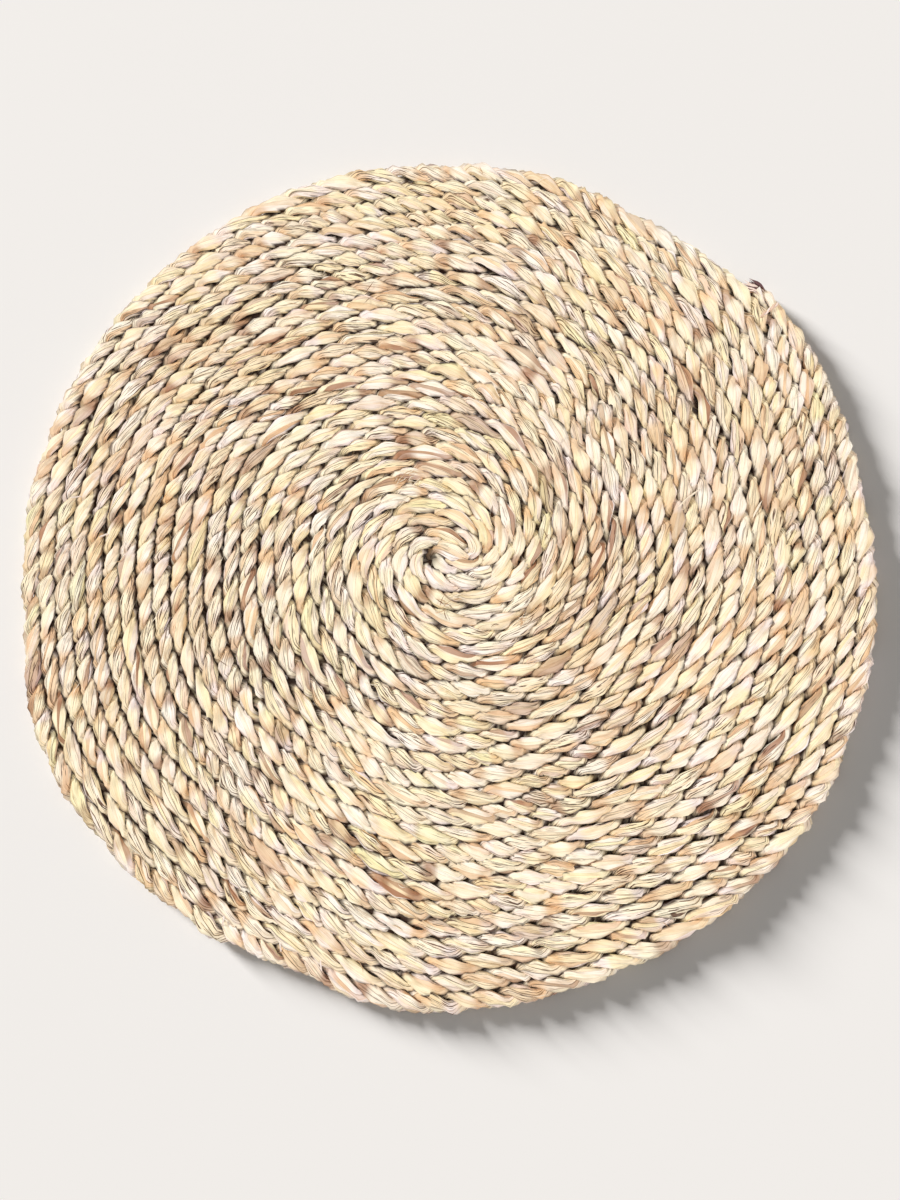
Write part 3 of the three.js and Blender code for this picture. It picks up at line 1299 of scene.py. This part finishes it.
@dataclass
class FrayedEnd:
    """The torn slivers of leaf at the rope's cut outer end."""

    rope: LeafRope
    seed: int = 21
    count: int = 44
    reach: tuple[float, float] = (2.0, 7.0)
    fan_deg: float = 15.0
    inward_deg: float = 26.0
    rooted: float = 3.0
    aside: float = 2.3
    heights: tuple[float, float] = (3.0, 7.4)
    drops: tuple[float, float] = (-0.05, 0.35)
    half_widths: tuple[float, float] = (0.35, 0.9)
    half_thick: float = 0.13
    tint_shares: tuple[float, ...] = (0.34, 0.22, 0.14, 0.3)
    tints: tuple[Colour, ...] = (
        srgb(104, 70, 74),
        srgb(128, 88, 70),
        srgb(176, 134, 104),
        srgb(252, 232, 220),
    )

    def build(self, material: bpy.types.Material) -> list[bpy.types.Object]:
        """Builds the slivers.

        Args:
            material: The leaf's finish.

        Returns:
            The piece.
        """
        rope, rng = self.rope, np.random.default_rng(self.seed)
        outward = rope.outward[-1]
        heading = np.array([-outward[1], outward[0]])
        end = rope.middle + rope.line[-1]
        strands = []
        for _ in range(self.count):
            aside = rng.uniform(-self.aside, self.aside)
            height = rng.uniform(*self.heights)
            reach = rng.uniform(*self.reach)
            fan = np.radians(rng.normal(-self.inward_deg, self.fan_deg) + 4.0 * aside)
            drop = rng.uniform(*self.drops) * height
            steps = np.array([-self.rooted, 0.0, 0.5 * reach, reach])
            past_end = np.clip(steps, 0.0, None)
            off = aside + np.tan(fan) * past_end
            flat = end + heading * steps[:, None] + outward * off[:, None]
            lift = height - drop * (past_end / reach) ** 2
            path = smooth_path(np.column_stack([flat, np.maximum(lift, 0.4)]), 10)
            colour = self.tints[rng.choice(len(self.tints), p=self.tint_shares)]
            half_width = rng.uniform(*self.half_widths)
            strands.append(Strand(path, half_width, self.half_thick, colour, end_left=0.1, taper=0.5))
        return [strand_piece("frayed_end", strands, material)]


@dataclass
class SewingThreads:
    """The few stitches that show where the turns are sewn to each other."""

    rope: LeafRope
    stitches: tuple[tuple[float, float], ...] = (
        (239.7, 174.6),
        (248.3, 175.4),
        (254.3, 178.6),
        (169.8, 159.9),
        (175.5, 144.7),
    )
    reach: float = 2.3
    slant: float = 0.9
    half_width: float = 0.36
    half_thick: float = 0.28
    places: tuple[float, ...] = (-1.0, -0.6, 0.0, 0.6, 1.0)
    above: tuple[float, ...] = (-0.9, 0.25, 0.1, 0.25, -0.9)
    colour: Colour = srgb(252, 240, 232)

    def groove_near(self, deg: float, radius: float) -> float:
        """Finds the radius of the groove that is nearest to a radius, at an angle.

        Args:
            deg: The angle.
            radius: The radius.

        Returns:
            The groove's radius.
        """
        w = self.rope.winding
        turn = round((radius / w.pitch * 360.0 - deg + w.start_deg) / 360.0)
        return w.groove_radius(deg + 360.0 * turn)

    def build(self, material: bpy.types.Material) -> list[bpy.types.Object]:
        """Builds the stitches, each over a groove and down into the rows beside it.

        Args:
            material: The thread's finish.

        Returns:
            The piece.
        """
        rope = self.rope
        strands = []
        for deg, radius in self.stitches:
            groove = self.groove_near(deg, radius)
            off = np.array(self.places) * self.reach
            turn = deg + np.degrees(off * self.slant / self.reach / groove)
            flat = rope.middle + rope.winding.place(groove + off, turn)
            height = rope.top_at(flat)
            height[2] = 0.5 * (height[1] + height[3])
            path = smooth_path(np.column_stack([flat, height + np.array(self.above)]), 12)
            half = (self.half_width, self.half_thick)
            strands.append(Strand(path, *half, self.colour, end_left=0.5, taper=0.15))
        return [strand_piece("sewing_threads", strands, material)]


@dataclass
class LooseLeaf:
    """Slivers, tufts and fine fibres of leaf that stand off the rope."""

    rope: LeafRope
    seed: int = 33
    # Each sliver's angle, radius, heading and length, and each tuft's angle and radius.
    slivers: tuple[tuple[float, ...], ...] = ((13.5, 111.0, 40.0, 13.0), (8.7, 138.7, 62.0, 9.0))
    tufts: tuple[tuple[float, float], ...] = ((107.3, 37.8), (113.3, 38.4), (278.6, 20.9), (324.1, 44.3))
    tuft_fibres: int = 11
    tuft_spread: float = 1.3
    tuft_arch: float = 0.6
    tuft_lengths: tuple[float, float] = (3.0, 6.0)
    tuft_shares: tuple[float, ...] = (0.4, 0.35, 0.25)
    fibres: int = 150
    fibre_half: float = 0.15
    fibre_lean_deg: float = 18.0
    fibre_lengths: tuple[float, float] = (3.0, 8.5)
    fibre_shares: tuple[float, ...] = (0.5, 0.3, 0.2)
    bend: float = 0.5
    thin: float = 0.1
    tints: tuple[Colour, ...] = (srgb(255, 244, 222), srgb(222, 186, 146), srgb(132, 92, 66))

    def lie(
        self, start: np.ndarray, heading_deg: float, length: float, arch: float, bend: float
    ) -> np.ndarray:
        """Lays a path over the rope's top.

        Args:
            start: The path's middle, x and y.
            heading_deg: Which way it goes.
            length: Its length.
            arch: How far its middle stands off.
            bend: How far it bends sideways.

        Returns:
            The path.
        """
        share = np.linspace(-0.5, 0.5, 5)
        bow = 1.0 - 4.0 * share**2
        ahead = direction(np.radians(heading_deg))
        aside = np.array([-ahead[1], ahead[0]])
        flat = start + ahead * (length * share)[:, None] + aside * (bend * bow)[:, None]
        height = self.rope.top_at(flat)
        height = np.minimum(height, height.mean() + 0.4)
        return smooth_path(np.column_stack([flat, height + 0.1 + arch * bow]), 9)

    def on_mat(self, deg: float, radius: float) -> np.ndarray:
        """Places an angle and radius on the mat, as x and y."""
        return self.rope.middle + radius * direction(np.radians(deg))

    def build(self, material: bpy.types.Material) -> list[bpy.types.Object]:
        """Builds the loose leaf.

        Args:
            material: The leaf's finish.

        Returns:
            The piece.
        """
        rope, rng = self.rope, np.random.default_rng(self.seed)
        strands = []
        for deg, radius, heading, length in self.slivers:
            path = self.lie(self.on_mat(deg, radius), heading, length, 0.4, 0.3)
            strands.append(Strand(path, 0.5, self.thin, self.tints[0], end_left=0.2))
        for deg, radius in self.tufts:
            for _ in range(self.tuft_fibres):
                at = self.on_mat(deg, radius) + rng.normal(0.0, self.tuft_spread, 2)
                heading = deg + 90.0 + rng.normal(0.0, 40.0)
                length = rng.uniform(*self.tuft_lengths)
                path = self.lie(at, heading, length, self.tuft_arch, rng.normal(0.0, self.bend))
                colour = self.tints[rng.choice(3, p=self.tuft_shares)]
                strands.append(Strand(path, rng.uniform(0.1, 0.22), self.thin, colour, sides=5))
        for _ in range(self.fibres):
            step = rng.integers(60, len(rope.along) - 60)
            at = rope.middle + rope.line[step] + rope.outward[step] * rng.uniform(-3.0, 3.0)
            heading = rope.deg[step] + 90.0 - self.fibre_lean_deg + rng.normal(0.0, 26.0)
            length = rng.uniform(*self.fibre_lengths)
            path = self.lie(at, heading, length, rng.uniform(0.0, 0.7), rng.normal(0.0, self.bend))
            colour = self.tints[rng.choice(3, p=self.fibre_shares)]
            half_width = self.fibre_half * rng.uniform(0.7, 1.3)
            strands.append(Strand(path, half_width, self.thin, colour, sides=5))
        return [strand_piece("loose_leaf", strands, material)]


@dataclass(frozen=True)
class FloorFinish:
    """A plain pale floor."""

    name: str = "pale_floor"
    colour: Colour = srgb(252, 250, 248)
    roughness: float = 0.9

    def build(self) -> bpy.types.Material:
        """Makes the floor's material.

        Returns:
            The material.
        """
        tree = ShaderTree(self.name)
        tree.feed(tree.shader.inputs["Base Color"], self.colour)
        tree.feed(tree.shader.inputs["Roughness"], self.roughness)
        tree.feed(tree.shader.inputs["Specular IOR Level"], 0.1)
        return tree.material


@dataclass(frozen=True)
class SoftLamp:
    """A broad far lamp, as a large soft box far from the mat."""

    name: str
    from_deg: float
    height_deg: float
    strength: float
    softness_deg: float
    lit: Lit
    colour: tuple[float, float, float]

    def build(self, lit: bpy.types.Collection) -> bpy.types.Object:
        """Makes the lamp.

        Args:
            lit: What the lamp lights.

        Returns:
            The lamp's object.
        """
        data = bpy.data.lights.new(self.name, "SUN")
        data.energy = self.strength
        data.angle = np.radians(self.softness_deg)
        data.color = self.colour
        lamp = bpy.data.objects.new(self.name, data)
        turn, rise = np.radians(self.from_deg), np.radians(self.height_deg)
        towards = Vector((np.cos(turn) * np.cos(rise), np.sin(turn) * np.cos(rise), np.sin(rise)))
        lamp.rotation_euler = towards.to_track_quat("Z", "Y").to_euler()
        bpy.context.scene.collection.objects.link(lamp)
        lamp.light_linking.receiver_collection = lit
        return lamp


@dataclass
class Studio:
    """The pale floor, the soft light and the camera over the mat."""

    middle: np.ndarray
    mat: bpy.types.Collection
    floor_half: float = 4000.0
    floor_drop: float = 0.2
    camera_from: tuple[float, float, float] = (18.9, -64.5, 420.8)
    camera_to: tuple[float, float, float] = (5.5, -16.6, 0.0)
    focal_pixels: float = 977.0
    image_height: float = 1200.0
    film: float = 36.0
    sky: Colour = srgb(255, 252, 248)
    sky_strength: float = 0.265
    lamps: tuple[SoftLamp, ...] = (
        SoftLamp("key", 148.0, 34.0, 2.1, 5.0, Lit.MAT, (1.0, 0.985, 0.96)),
        SoftLamp("top", 300.0, 74.0, 1.12, 30.0, Lit.MAT, (1.0, 0.99, 0.98)),
        SoftLamp("edge", 328.0, 32.0, 1.2, 12.0, Lit.MAT, (1.0, 0.95, 0.98)),
        SoftLamp("wash", 143.0, 14.5, 8.0, 15.0, Lit.FLOOR, (1.0, 0.985, 0.97)),
    )

    def build(self) -> None:
        """Makes the floor, the lamps, the sky and the camera."""
        floor = bpy.data.collections.new(Lit.FLOOR.value)
        floor.objects.link(self.floor())
        lit = {Lit.MAT: self.mat, Lit.FLOOR: floor}
        for lamp in self.lamps:
            lamp.build(lit[lamp.lit])
        world = bpy.data.worlds.new("soft_sky")
        world.use_nodes = True
        background = world.node_tree.nodes["Background"]
        background.inputs["Color"].default_value = self.sky
        background.inputs["Strength"].default_value = self.sky_strength
        bpy.context.scene.world = world
        bpy.context.scene.view_settings.view_transform = "Standard"
        self.camera()

    def floor(self) -> bpy.types.Object:
        """Lays the floor just under the mat.

        Returns:
            The floor.
        """
        half = self.floor_half * MM
        corners = ((-half, -half), (half, -half), (half, half), (-half, half))
        mesh = bpy.data.meshes.new("floor")
        mesh.from_pydata([(x, y, -self.floor_drop * MM) for x, y in corners], [], [(0, 1, 2, 3)])
        mesh.materials.append(FloorFinish().build())
        floor = bpy.data.objects.new("floor", mesh)
        bpy.context.scene.collection.objects.link(floor)
        return floor

    def camera(self) -> None:
        """Places the camera over the mat, a little towards its near edge."""
        middle = Vector((*self.middle, 0.0))
        eye = (Vector(self.camera_from) + middle) * MM
        ahead = ((Vector(self.camera_to) + middle) * MM - eye).normalized()
        right = ahead.cross(Vector((0.0, 1.0, 0.0))).normalized()
        up = right.cross(ahead)
        data = bpy.data.cameras.new("camera")
        data.sensor_width = self.film
        data.lens = self.film * self.focal_pixels / self.image_height
        data.clip_start = 0.01
        camera = bpy.data.objects.new("camera", data)
        turn = Matrix((right, up, -ahead)).transposed().to_4x4()
        camera.matrix_world = Matrix.Translation(eye) @ turn
        bpy.context.scene.collection.objects.link(camera)
        bpy.context.scene.camera = camera


def main() -> None:
    """Builds the mat's pieces in order."""
    logging.basicConfig(level=logging.INFO, format="%(name)s: %(message)s")
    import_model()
    rope = LeafRope(Winding(), LeafTints())
    LOG.info("rope: %.0f mm long", rope.length)
    leaf = LeafFinish().build()
    strand_leaf = LeafFinish(name="strand_leaf").build()
    pieces = [
        *rope.build(leaf),
        *EndLashing(rope).build(strand_leaf),
        *FrayedEnd(rope).build(leaf),
        *SewingThreads(rope).build(strand_leaf),
        *LooseLeaf(rope).build(leaf),
    ]
    mat = bpy.data.collections.new(Lit.MAT.value)
    for piece in pieces:
        mat.objects.link(piece)
    Studio(rope.middle, mat).build()


if __name__ == "__main__":
    main()
